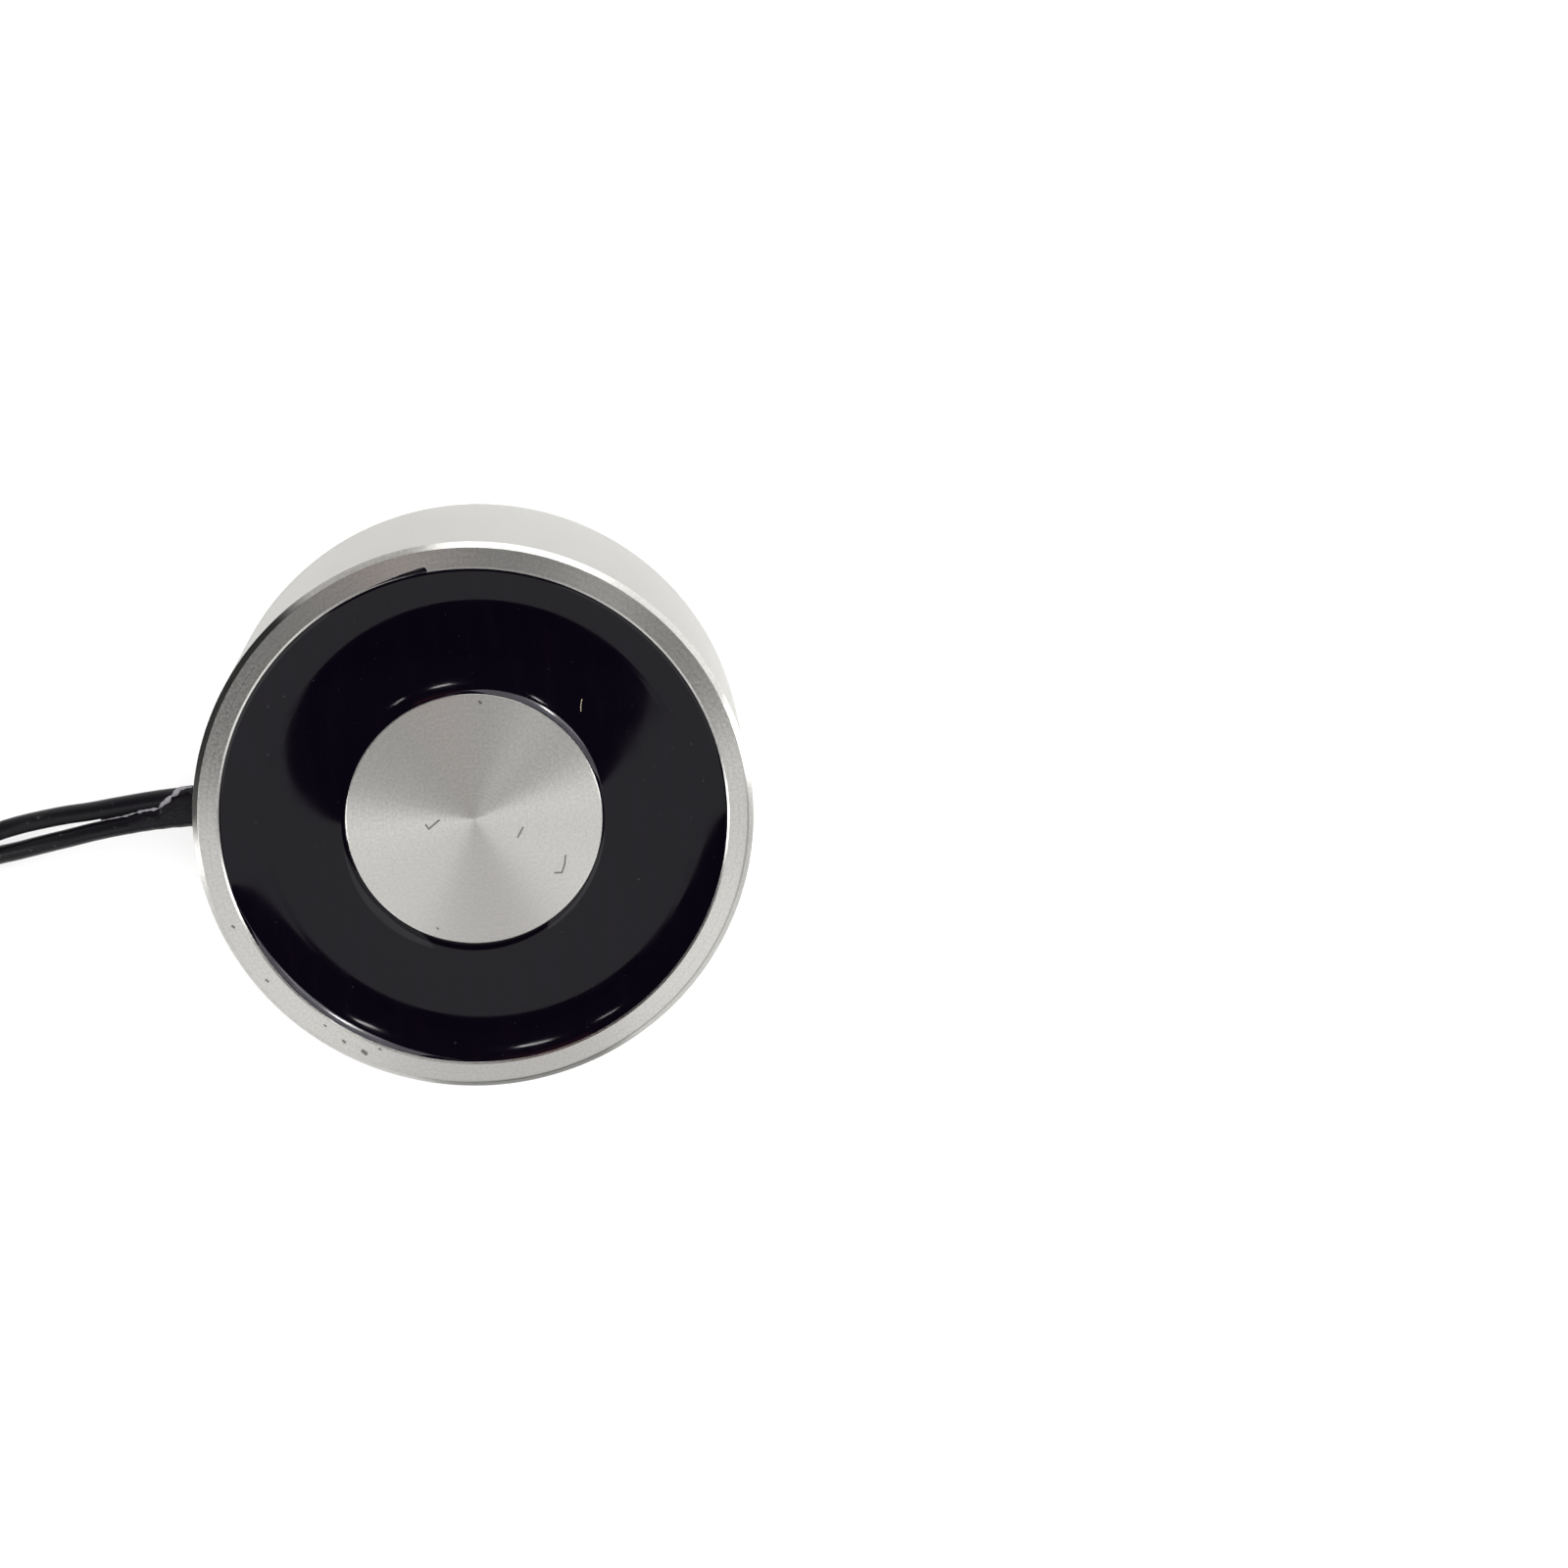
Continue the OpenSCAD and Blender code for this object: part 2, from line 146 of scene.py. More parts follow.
class LeadSizes(bpy.types.PropertyGroup):
    """Sizes of the leads, their way behind the rim and their coil."""

    lead_d: length("Lead diameter", "Outside diameter of a lead", 1.4)
    lead_gap: length("Lead gap", "Gap between the leads in their hole", 0.15)
    channel: length("Channel", "Radial room for the leads behind the rim", 2.2)
    channel_run: angle("Channel run", "Angle that a lead runs along the channel", 16)
    bend_r: length("Bend radius", "Radius of a lead's bend behind the rim", 2.8)
    seal_reach: length("Seal reach", "How far the seal reaches along the leads", 5.0)
    seal_skin: length("Seal skin", "Thickness of the seal over the leads", 0.1)
    turns_d: length("Coil diameter", "Diameter across the middle of the turns", 16.0)
    turns: amount("Turns", "Turns of the band of leads", 3.8)
    layer_rise: length("Layer rise", "Height of one layer of leads over the other", 1.45)
    tie_t: length("Tie thickness", "Thickness of the band that the coil lies on", 0.3)
    join_angle: angle("Join angle", "Where the leads join the coil", 285)
    join_l: length("Join length", "Straight stretch into the coil", 6.0)
    join_slope: angle("Join slope", "Slope of that stretch", 15)
    leave_r: length("Leaving radius", "Radius of the last bend of a lead, into the coil's middle", 3.0)
    leave_first: angle("First end", "Where the lower lead leaves its turns", 174.4)
    leave_second: angle("Second end", "Where the upper lead leaves its turns", 204.4)
    sides: IntProperty(name="Sides", description="Steps around a lead", default=28)


class Colours(bpy.types.PropertyGroup):
    """Base colours of the materials."""

    steel: colour("Steel", "Turned and plated steel", (0.62, 0.61, 0.585))
    potting: colour("Potting", "Black epoxy", (0.002, 0.0012, 0.0034))
    # Thin epoxy lets the steel show through; its lighter colour is also partly a painted sheen for the
    # meniscus highlight.
    film: colour("Film", "Epoxy that is thin enough to let the steel through", (0.05, 0.048, 0.056))
    sealant: colour("Sealant", "Black sealant", (0.003, 0.0024, 0.004))
    lead: colour("Lead", "Black insulation", (0.0035, 0.003, 0.0045))
    # Painted highlight: the torn edge is coloured pale grey to stand for the light line along its top.
    tear: colour("Tear", "Pale edge of the torn sealant", (0.24, 0.23, 0.25))
    bobbin: colour("Bobbin", "Moulded nylon", (0.8, 0.77, 0.68))
    copper: colour("Copper", "Enamelled copper wire", (0.55, 0.25, 0.12))
    tape: colour("Tape", "Amber film", (0.72, 0.46, 0.1))
    solder: colour("Solder", "Tinned metal", (0.75, 0.75, 0.76))
    sleeve: colour("Sleeve", "Shrunk tube", (0.05, 0.05, 0.05))
    tie: colour("Tie", "White plastic band", (0.85, 0.85, 0.83))
    fibre: colour("Fibre", "Stray fibre", (0.5, 0.42, 0.3))


class StageSizes(bpy.types.PropertyGroup):
    """Camera, floor and light of the studio."""

    lens: amount("Lens", "Focal length in millimetres on a 36 mm sensor", 76.572)
    place: triple("Camera place", "Where the camera stands", (0.011528, 0.05425, 0.252646), "TRANSLATION")
    right: triple("Right", "Camera's right", (0.99592, -0.0663, 0.06115))
    up: triple("Up", "Camera's up", (0.07823, 0.97243, -0.21968))
    back: triple("Back", "Camera's back", (-0.0449, 0.22357, 0.97365))
    floor_size: length("Floor", "Width of the floor", 4000)
    floor_drop: length("Floor drop", "Depth of the floor below the mounting face", 0.02)
    floor_light: amount("Floor light", "Light that falls on the floor from above", 1.3)
    fill_light: amount("Fill light", "Light that fills the shadow on the floor", 2.9)
    sky_width: angle("Sky width", "Angle that the light from above comes from", 45)
    sky_from: triple("Sky from", "Where that light comes from", (0.2, 0.35, 1))


class MagnetSettings(bpy.types.PropertyGroup):
    """All settings of the magnet and its stage."""

    body: PointerProperty(type=BodySizes)
    potting: PointerProperty(type=PottingSizes)
    leads: PointerProperty(type=LeadSizes)
    colours: PointerProperty(type=Colours)
    stage: PointerProperty(type=StageSizes)


class Dimensions:
    """Radii and heights worked out from the settings and the frame."""

    def __init__(self, settings):
        body, leads = settings.body, settings.leads
        self.body_r = (BODY_HIGH[1] - BODY_LOW[1]) / 2
        self.height = BODY_HIGH[2]
        self.bore_r = self.body_r - body.rim_wall
        self.pole_r = self.bore_r - body.coil_space
        self.channel_r = self.bore_r - leads.channel / 2
        self.lead_r = leads.lead_d / 2
        self.lead_pitch = leads.lead_d + leads.lead_gap
        self.flange_r = (BOBBIN_HIGH[1] - BOBBIN_LOW[1]) / 2
        self.tape_r = (TAPE_HIGH[1] - TAPE_LOW[1]) / 2


# Meshes from sheets of points

def sheet_faces(rows, columns, wrap, start):
    """Quads of a grid of points kept row by row; wrap joins the last column to the first."""
    i, j = np.meshgrid(np.arange(rows - 1), np.arange(columns if wrap else columns - 1), indexing="ij")
    k = (j + 1) % columns
    low, high = i * columns, (i + 1) * columns
    return start + np.stack((low + j, high + j, high + k, low + k), axis=-1).reshape(-1, 4)


def link_object(name, data):
    """New object in the scene."""
    made = bpy.data.objects.new(name, data)
    bpy.context.scene.collection.objects.link(made)
    return made


def build_piece(name, sheets):
    """Object made of (points, wrap) sheets, with shared points merged and faces outwards."""
    points, faces, start = [], [], 0
    for grid, wrap in sheets:
        rows, columns = grid.shape[:2]
        points.append(grid.reshape(-1, 3))
        faces.append(sheet_faces(rows, columns, wrap, start))
        start += rows * columns
    mesh = bpy.data.meshes.new(name)
    mesh.from_pydata(np.concatenate(points).tolist(), [], np.concatenate(faces).tolist())
    work = bmesh.new()
    work.from_mesh(mesh)
    bmesh.ops.remove_doubles(work, verts=work.verts, dist=MERGE_DISTANCE)
    bmesh.ops.recalc_face_normals(work, faces=work.faces)
    work.to_mesh(mesh)
    work.free()
    mesh.shade_smooth()
    mesh.set_sharp_from_angle(angle=SMOOTH_ANGLE)
    return link_object(name, mesh)


def polar(r, turn, z):
    """Points at radii, angles about the Z axis and heights: (r cos a, r sin a, z)."""
    return np.stack(np.broadcast_arrays(r * np.cos(turn), r * np.sin(turn), z), axis=-1)


def spin(profile, angles):
    """Turn (r, z) points about the Z axis."""
    r, z = np.asarray(profile).T
    return polar(r[:, None], angles, z[:, None])


def full_turn(steps):
    """Even angles of a whole turn, without the last one that would repeat the first."""
    return np.linspace(0, 2 * np.pi, steps, endpoint=False)


def capped(rings):
    """Rings of points, closed at both ends by the middle point of the end ring."""
    ends = [np.repeat(rings[k].mean(axis=0)[None, None], rings.shape[1], axis=1) for k in (0, -1)]
    return np.concatenate((ends[0], rings, ends[1]))


def unit(vector):
    """Vectors of length one along the last axis."""
    vector = np.asarray(vector, float)
    return vector / np.linalg.norm(vector, axis=-1, keepdims=True)


def rounded(corners, steps=5, support=0.03 * MM):
    """Profile through (r, z, round) corners, each round an arc with a support point on both sides."""
    points = [np.array(corners[0][:2])]
    for before, corner, after in zip(corners, corners[1:], corners[2:]):
        place, radius = np.array(corner[:2]), corner[2]
        if radius == 0:
            points.append(place)
            continue
        back, on = unit(np.array(before[:2]) - place), unit(np.array(after[:2]) - place)
        half = np.arccos(np.clip(back @ on, -1, 1)) / 2
        centre = place + unit(back + on) * radius / np.sin(half)
        first, last = place + back * radius / np.tan(half), place + on * radius / np.tan(half)
        sweep = np.pi - 2 * half
        share = np.linspace(0, 1, steps)[:, None]
        arc = np.sin((1 - share) * sweep) * (first - centre) + np.sin(share * sweep) * (last - centre)
        arc = arc / np.sin(sweep)
        points.append(first + back * support)
        points.extend(centre + arc)
        points.append(last + on * support)
    points.append(np.array(corners[-1][:2]))
    return np.array(points)


def tube(path, radius, sides):
    """Closed tube along a path: rings of the given radius, square to the path, with a pole at each end."""
    along = unit(np.gradient(path, axis=0))
    side = unit(np.cross((0, 0, 1), along))
    up = np.cross(along, side)
    turn = full_turn(sides)
    reach = np.broadcast_to(np.asarray(radius, float), (len(path),))[:, None, None]
    cosine, sine = np.cos(turn)[None, :, None], np.sin(turn)[None, :, None]
    return capped(path[:, None] + reach * (cosine * side[:, None] + sine * up[:, None]))


def curve_through(points, step):
    """Even points of a cubic curve through the given ones, its slopes taken from their neighbours."""
    points = np.asarray(points, float)
    knots = np.concatenate(([0], np.cumsum(np.linalg.norm(np.diff(points, axis=0), axis=1))))
    slopes = np.gradient(points, knots, axis=0)
    places = np.linspace(0, knots[-1], int(np.ceil(knots[-1] / step)) + 1)
    k = np.clip(np.searchsorted(knots, places, side="right") - 1, 0, len(knots) - 2)
    span = (knots[k + 1] - knots[k])[:, None]
    s = (places - knots[k])[:, None] / span
    return ((1 + 2 * s) * (1 - s) ** 2 * points[k] + s * (1 - s) ** 2 * span * slopes[k]
            + s ** 2 * (3 - 2 * s) * points[k + 1] + s ** 2 * (s - 1) * span * slopes[k + 1])


# Materials

class Flow:
    """A value in a node tree; arithmetic on it adds Math nodes."""

    def __init__(self, surface, socket):
        self.surface = surface
        self.socket = socket

    def math(self, operation, *others, clamp=False):
        """Math node with this value as its first input."""
        inputs = [self, *others]
        return self.surface.value("ShaderNodeMath", inputs, operation=operation, use_clamp=clamp)

    def __add__(self, other):
        return self.math("ADD", other)

    def __sub__(self, other):
        return self.math("SUBTRACT", other)

    def __mul__(self, other):
        return self.math("MULTIPLY", other)

    def __truediv__(self, other):
        return self.math("DIVIDE", other)

    __radd__ = __add__

    def ramp(self, low, high, start=0.0, end=1.0):
        """Smooth step from start at low to end at high."""
        inputs = [self, low, high, start, end]
        return self.surface.value("ShaderNodeMapRange", inputs, interpolation_type="SMOOTHSTEP")


class Surface:
    """A material under construction around one principled shader."""

    def __init__(self, name, base, **constants):
        self.material = bpy.data.materials.new(name)
        self.material.use_nodes = True
        self.tree = self.material.node_tree
        self.shader = next(n for n in self.tree.nodes if n.type == "BSDF_PRINCIPLED")
        self.shader.inputs["Base Color"].default_value = (*base, 1)
        for label, value in constants.items():
            self.shader_input(label).default_value = value

    def shader_input(self, label):
        """Input of the shader by its name in small letters."""
        return self.shader.inputs[label.replace("_", " ").title().replace("Ior", "IOR")]

    def value(self, kind, inputs, output=0, **settings):
        """Output of a new node, with its settings made before its inputs are set or linked."""
        node = self.tree.nodes.new(kind)
        for label, setting in settings.items():
            setattr(node, label, setting)
        pairs = inputs.items() if isinstance(inputs, dict) else enumerate(inputs)
        for label, value in pairs:
            if isinstance(value, Flow):
                self.tree.links.new(value.socket, node.inputs[label])
            else:
                node.inputs[label].default_value = value
        return Flow(self, node.outputs[output])

    def parts(self, vector):
        """Values x, y and z of a vector."""
        first = self.value("ShaderNodeSeparateXYZ", [vector])
        return [Flow(self, output) for output in first.socket.node.outputs]

    def place(self):
        """Object coordinates in millimetres, whole and as x, y and z."""
        where = self.value("ShaderNodeTexCoord", [], "Object")
        scaled = self.value("ShaderNodeVectorMath", {0: where, "Scale": 1 / MM}, operation="SCALE")
        return scaled, self.parts(scaled)

    def noise(self, where, scale, detail=3.0, dimensions="3D"):
        """Noise from 0 to 1 at a number of grains per millimetre, in space or along one value (1D)."""
        inputs = {"W" if dimensions == "1D" else "Vector": where, "Scale": scale, "Detail": detail}
        return self.value("ShaderNodeTexNoise", inputs, noise_dimensions=dimensions)

    def mix(self, share, first, second):
        """Mix of two colours."""
        return self.value("ShaderNodeMix", {0: share, 6: first, 7: second}, 2, data_type="RGBA")

    def feed(self, **flows):
        """Link values to the shader's inputs."""
        for label, value in flows.items():
            self.tree.links.new(value.socket, self.shader_input(label))

    def bump(self, height, depth):
        """Feed a height to the shader's normal; depth is the height's size in metres."""
        inputs = {"Strength": 1.0, "Distance": depth, "Height": height}
        self.feed(normal=self.value("ShaderNodeBump", inputs))


def shade(base, factor):
    """Colour scaled by a factor, with its alpha."""
    return (*(min(1.0, channel * factor) for channel in base), 1.0)


def stroke(x, y, start, end, width):
    """One along a straight mark between two points in millimetres, fading to zero beside it."""
    run = np.subtract(end, start)
    across, upward = x - start[0], y - start[1]
    share = (across * (run[0] / (run @ run)) + upward * (run[1] / (run @ run))).math("ADD", 0.0, clamp=True)
    left, low = across - share * run[0], upward - share * run[1]
    return (left * left + low * low).math("SQRT").ramp(0.4 * width, width, 1.0, 0.0)


# Marks on the holding face in millimetres: scratches as chains of points, pits as x, y and width
SCRATCHES = (((-3.46, -0.1), (-3.29, -0.42), (-2.5, 0.16)), ((3.4, -0.85), (2.98, -1.53)),
             ((5.4, -4.36), (5.89, -4.4), (6.14, -3.82), (6.27, -3.15)))
SCRATCH_WIDTH = 0.09
PITS = ((-17.88, -6.4, 0.12), (-15.89, -10.59, 0.12), (-12.07, -14.31, 0.1), (-10.85, -15.6, 0.13),
        (-9.5, -16.5, 0.2), (-8.31, -16.41, 0.1), (1.09, 8.53, 0.11), (-3.35, -7.76, 0.09))


def face_marks(x, y):
    """Scratches and pits of the holding face."""
    marks = [stroke(x, y, start, end, SCRATCH_WIDTH)
             for chain in SCRATCHES for start, end in zip(chain, chain[1:])]
    marks += [stroke(x, y, (left, low), (left + width, low - width), width) for left, low, width in PITS]
    total = marks[0]
    for mark in marks[1:]:
        total = total.math("MAXIMUM", mark)
    return total


# Where the steel changes, in millimetres: the holding face's height, the radii where the rim's face begins,
# then radii of the chamfer and of a thin line, which take painted dark reflections
FACE_FROM = (19.4, 19.6)
RIM_FROM = (17.9, 18.1)
SHADED_CHAMFER_FROM = (19.0, 19.3)
PAINTED_LINE_FROM, PAINTED_LINE_TO = (19.46, 19.55), (19.6, 19.68)


def steel_material(base):
    """Turned steel: a fine speckle over faint rings, marks on the face, painted shade that darkens the
    walls and the rim's face, and painted dark reflections as lines at part of its edge.

    On level faces the feed marks of the turning lean outwards, so the normal leans with them.
    """
    surface = Surface("turned_steel", base, metallic=1.0, anisotropic=0.8, anisotropic_rotation=0.25)
    where, (x, y, z) = surface.place()
    radius = (x * x + y * y).math("SQRT")
    normal = surface.value("ShaderNodeNewGeometry", [], "Normal")
    facing = surface.parts(normal)[2]
    top = z.ramp(*FACE_FROM)
    rings = surface.noise(radius, scale=7.0, detail=5.0, dimensions="1D")
    speckle = surface.noise(where, scale=5.0, detail=5.0)
    tone = (rings * 0.25 + speckle * 0.75).ramp(0.32, 0.68)
    plain = surface.mix(tone, shade(base, 0.91), shade(base, 1.09))
    # Painted shade: the rim's face takes a darker copy of the steel than the pole's face.
    shaded_rim = surface.mix(tone, shade(base, 0.8), shade(base, 1.0))
    plain = surface.mix(radius.ramp(*RIM_FROM) * top, plain, shaded_rim)
    # Painted shade: the side walls take a darker copy of the steel, which dims their reflection of the
    # floor.
    wall = surface.mix(tone, shade(base, 0.7), shade(base, 0.76))
    plain = surface.mix(facing.math("ABSOLUTE").ramp(0.1, 0.4), wall, plain)
    # Painted dark reflection: the outer chamfer is darkened towards the left and the bottom, and a thin
    # line by it towards the lower right.
    sloping = facing.ramp(0.3, 0.5) * facing.ramp(0.85, 0.97, 1.0, 0.0)
    chamfer = sloping * top * radius.ramp(*SHADED_CHAMFER_FROM)
    line = radius.ramp(*PAINTED_LINE_FROM) * radius.ramp(*PAINTED_LINE_TO, 1.0, 0.0) * top

    def towards(degrees):
        """Cosine of the angle between a place on the face and this direction."""
        way = np.radians(degrees)
        return (y * np.sin(way) + x * np.cos(way)) / radius

    painted_shade_left = towards(152).ramp(0.84, 0.93)
    painted_shade_low = towards(277).ramp(0.9, 0.97)
    painted_line_right = towards(315).ramp(0.5, 0.75)
    edge = chamfer * (painted_shade_left + painted_shade_low * 0.6) + line * painted_line_right * 0.4
    # Scratches and pits are the steel's own marks; the edge terms are painted dark reflections.
    dark = edge.math("MAXIMUM", face_marks(x, y) * top * 0.75)
    surface.feed(base_color=surface.mix(dark, plain, shade(base, 0.05)))
    surface.feed(roughness=tone * 0.08 + radius.ramp(*RIM_FROM, 0.34, 0.28))
    lean = facing.ramp(0.95, 0.999) * radius.ramp(9.0, 18.0, 0.075, 0.105) / radius.math("MAXIMUM", 0.3)
    push = surface.value("ShaderNodeCombineXYZ", [x * lean, y * lean, 0.0])
    added = surface.value("ShaderNodeVectorMath", [normal, push], operation="ADD")
    surface.feed(normal=surface.value("ShaderNodeVectorMath", [added], operation="NORMALIZE"))
    return surface.material


DUST = (0.05, 0.05, 0.055, 1)
FLECKS = (0.09, 0.09, 0.1, 1)


def potting_material(name, base, gloss, roughness):
    """Glossy black epoxy with faint smudges, wiped streaks and specks of dust."""
    surface = Surface(name, base, ior=1.5, specular_ior_level=gloss)
    where, (x, y, z) = surface.place()
    smudge = surface.noise(where, scale=0.35, detail=4.0).ramp(0.35, 0.7)
    dust = surface.noise(where, scale=3.0, detail=2.0).ramp(0.74, 0.8)
    wiped = surface.value("ShaderNodeCombineXYZ", [x * 0.9, y * 0.15 + x * 0.1, z * 0.1])
    streak = surface.noise(wiped, scale=1.0, detail=4.0).ramp(0.42, 0.72)
    cloudy = surface.mix(streak, shade(base, 1.0), shade(base, 1.25))
    surface.feed(base_color=surface.mix(dust * 0.5, cloudy, DUST))
    surface.feed(roughness=smudge * 0.03 + dust * 0.2 + roughness)
    return surface.material


def rubbery_material(name, base, roughness, grain, depth):
    """Black plastic or sealant with a fine uneven surface and flecks of dust."""
    surface = Surface(name, base, ior=1.5, specular_ior_level=0.2)
    where, _ = surface.place()
    uneven = surface.noise(where, grain)
    fleck = surface.noise(where, scale=2.2).ramp(0.66, 0.74)
    surface.feed(base_color=surface.mix(fleck * 0.4, shade(base, 1.0), FLECKS))
    surface.feed(roughness=roughness - 0.1 + uneven * 0.2)
    surface.bump(uneven, depth * MM)
    return surface.material


def plain_material(name, base, roughness, metallic=0.0):
    """Even material with a slight change of tone, for the parts inside."""
    surface = Surface(name, base, roughness=roughness, metallic=metallic)
    where, _ = surface.place()
    tone = surface.noise(where, scale=2.0)
    surface.feed(base_color=surface.mix(tone, shade(base, 0.9), shade(base, 1.08)))
    return surface.material


def matt_material(name, base):
    """Even matt material, for the stage."""
    return Surface(name, base, roughness=1.0, specular_ior_level=0.0).material


WIRE_PITCH = 0.35


def wound_material(base):
    """Enamelled wire laid turn by turn, at its pitch in millimetres, with painted shade in the grooves
    between turns.
    """
    surface = Surface("enamelled_wire", base, roughness=0.3, metallic=0.9)
    _, (_, _, z) = surface.place()
    turns = (z * (2 * np.pi / WIRE_PITCH)).math("SINE")
    # Painted shade: the colour darkens in the grooves between turns.
    surface.feed(base_color=surface.mix(turns * 0.5 + 0.5, shade(base, 0.55), shade(base, 1.0)))
    surface.bump(turns, 0.05 * MM)
    return surface.material


def dress(piece, material):
    """Give a piece its only material."""
    piece.data.materials.clear()
    piece.data.materials.append(material)


def add_part(name, sheets, material, slot, *nodes):
    """Piece in its material that rides on the body and stands for CAD nodes; slot is not used."""
    piece = build_piece(name, sheets)
    dress(piece, material)
    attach(piece, "root")
    if nodes:
        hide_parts(*nodes)
    return piece


# Shapes of the pieces

def hole_band(size, body, radius, angles):
    """Band of a wall of the rim with the lead hole in it: the wall beside it, a patch and the hole's edge.

    The patch runs from the hole's circle to a rectangle on the wall, in angle and height.
    """
    rows, patch_rows, margin = 9, 5, 1.05
    middle, half = len(angles) // 2, len(angles) // 48
    low, high = body.hole_z - margin * body.hole_r, body.hole_z + margin * body.hole_r
    heights = np.linspace(low, high, rows)
    others = np.roll(angles, -(middle + half))[: len(angles) - 2 * half + 1]
    wall = polar(radius, others, heights[:, None])
    step = angles[1] - angles[0]
    across = np.arange(-half, half + 1) * step
    grid = np.stack(np.meshgrid(across, heights, indexing="ij"), axis=-1)
    loop = np.concatenate((grid[:-1, 0], grid[-1, :-1], grid[:0:-1, -1], grid[0, :0:-1]))
    turn = np.arctan2(loop[:, 1] - body.hole_z, size.body_r * loop[:, 0])
    edge = np.stack((np.arcsin(body.hole_r * np.cos(turn) / radius),
                     body.hole_z + body.hole_r * np.sin(turn)), axis=1)
    share = np.linspace(0, 1, patch_rows)[:, None, None]
    flat = (1 - share) * edge + share * loop
    patch = polar(radius, np.pi + flat[..., 0], flat[..., 1])
    return low, high, wall, patch


def pot_sheets(size, body):
    """Sheets of the turned pot: three turned profiles and, between them, two walls with the lead hole."""
    angles = full_turn(body.columns)
    round_r, top = body.edge_round, size.height
    low, high, bore_wall, bore_patch = hole_band(size, body, size.bore_r, angles)
    _, _, outer_wall, outer_patch = hole_band(size, body, size.body_r, angles)
    drill_r = body.thread_r - body.thread_ridge
    pole = rounded([(0, top), (size.pole_r, top, round_r), (size.pole_r, body.base, 0),
                    (size.bore_r, body.base, 0), (size.bore_r, low)])
    rim = rounded([(size.bore_r, high), (size.bore_r, top - body.bore_drop, round_r / 4),
                   (size.bore_r + body.bore_break, top, round_r / 4),
                   (size.body_r - body.front_chamfer, top, round_r),
                   (size.body_r, top - body.front_chamfer, round_r), (size.body_r, high)],
                  support=0.01 * MM)
    back = rounded([(size.body_r, low), (size.body_r, body.back_chamfer, round_r),
                    (size.body_r - body.back_chamfer, 0, round_r),
                    (body.thread_r + body.countersink, 0, round_r / 2),
                    (body.thread_r, body.countersink, 0),
                    (body.thread_r, body.thread_depth, 0), (drill_r, body.thread_depth, 0),
                    (drill_r, body.drill_end, 0), (0, body.drill_tip)])
    turned = [(spin(profile, angles), True) for profile in (pole, rim, back)]
    mouth = np.stack((bore_patch[0], outer_patch[0]))
    walls = [(bore_wall, False), (outer_wall, False)]
    return turned + walls + [(bore_patch, True), (outer_patch, True), (mouth, True)]


def thread_sheet(body):
    """Ridge of the mounting thread: a blunt section swept up a helix that fades at both ends."""
    steps_a_turn = 48
    turns = (body.thread_depth - body.countersink) / body.thread_pitch - 1
    sweep = np.linspace(0, 2 * np.pi * turns, int(turns * steps_a_turn))
    depth = body.thread_ridge * np.clip(np.minimum(sweep, sweep[-1] - sweep) / np.pi, 0, 1)
    start = body.countersink + body.thread_pitch / 2
    half, crest = 0.44 * body.thread_pitch, 0.07 * body.thread_pitch
    inward = np.array((0.0, 1.0, 1.0, 0.0, -0.1))
    along = np.array((-half, -crest, crest, half, 0.0))
    r = body.thread_r - np.outer(depth, inward)
    z = start + body.thread_pitch * sweep[:, None] / (2 * np.pi) + along
    return capped(polar(r, sweep[:, None], z))


def dish_height(size, potting, r, turn):
    """Height of the potted face: two arcs that meet at the lowest ring, a climb and a lip at each edge.

    An arc rises d over a run w, so z = low + d (distance / w)^2; a climb is c exp(-distance / run).
    The set potting lies a little deeper and wider on one side, by 1 - lean cos(a - a0).
    """
    lean = 1 - potting.dish_lean * np.cos(turn - potting.lean_angle)
    depth, offset = potting.dish_depth * lean, potting.dish_offset * lean
    low_r = size.bore_r - offset
    from_pole, from_rim = r - size.pole_r, size.bore_r - r
    inner_rise = depth - potting.pole_recess - potting.pole_climb - potting.creep
    outer_rise = depth - potting.rim_recess - potting.creep
    inner = inner_rise * np.clip((low_r - r) / (low_r - size.pole_r), 0, None) ** 2
    outer = outer_rise * np.clip((r - low_r) / offset, 0, None) ** 2
    climb = potting.pole_climb * np.exp(-from_pole / potting.pole_run)
    lips = np.exp(-from_pole / potting.creep_run) + np.exp(-from_rim / potting.creep_run)
    return size.height - depth + inner + outer + climb + potting.creep * lips


def potting_sheet(size, potting, columns):
    """Potting as one turned section: the dished face, the wall along the rim, the steps over the coil."""
    rows = 90
    angles = full_turn(columns)
    share = (1 - np.cos(np.linspace(0, np.pi, rows))) / 2
    face_r = (size.pole_r + (size.bore_r - size.pole_r) * share)[:, None]
    face = polar(face_r, angles, dish_height(size, potting, face_r, angles))
    floor, flange = BOBBIN_LOW[2], TAPE_LOW[2]
    under, cover = TAPE_HIGH[2], BOBBIN_HIGH[2]
    steps = [(size.bore_r, floor), (size.flange_r, floor), (size.flange_r, flange), (size.tape_r, flange),
             (size.tape_r, under), (size.flange_r, under), (size.flange_r, cover), (size.pole_r, cover)]
    return np.concatenate((face, spin(steps, angles), face[:1]))


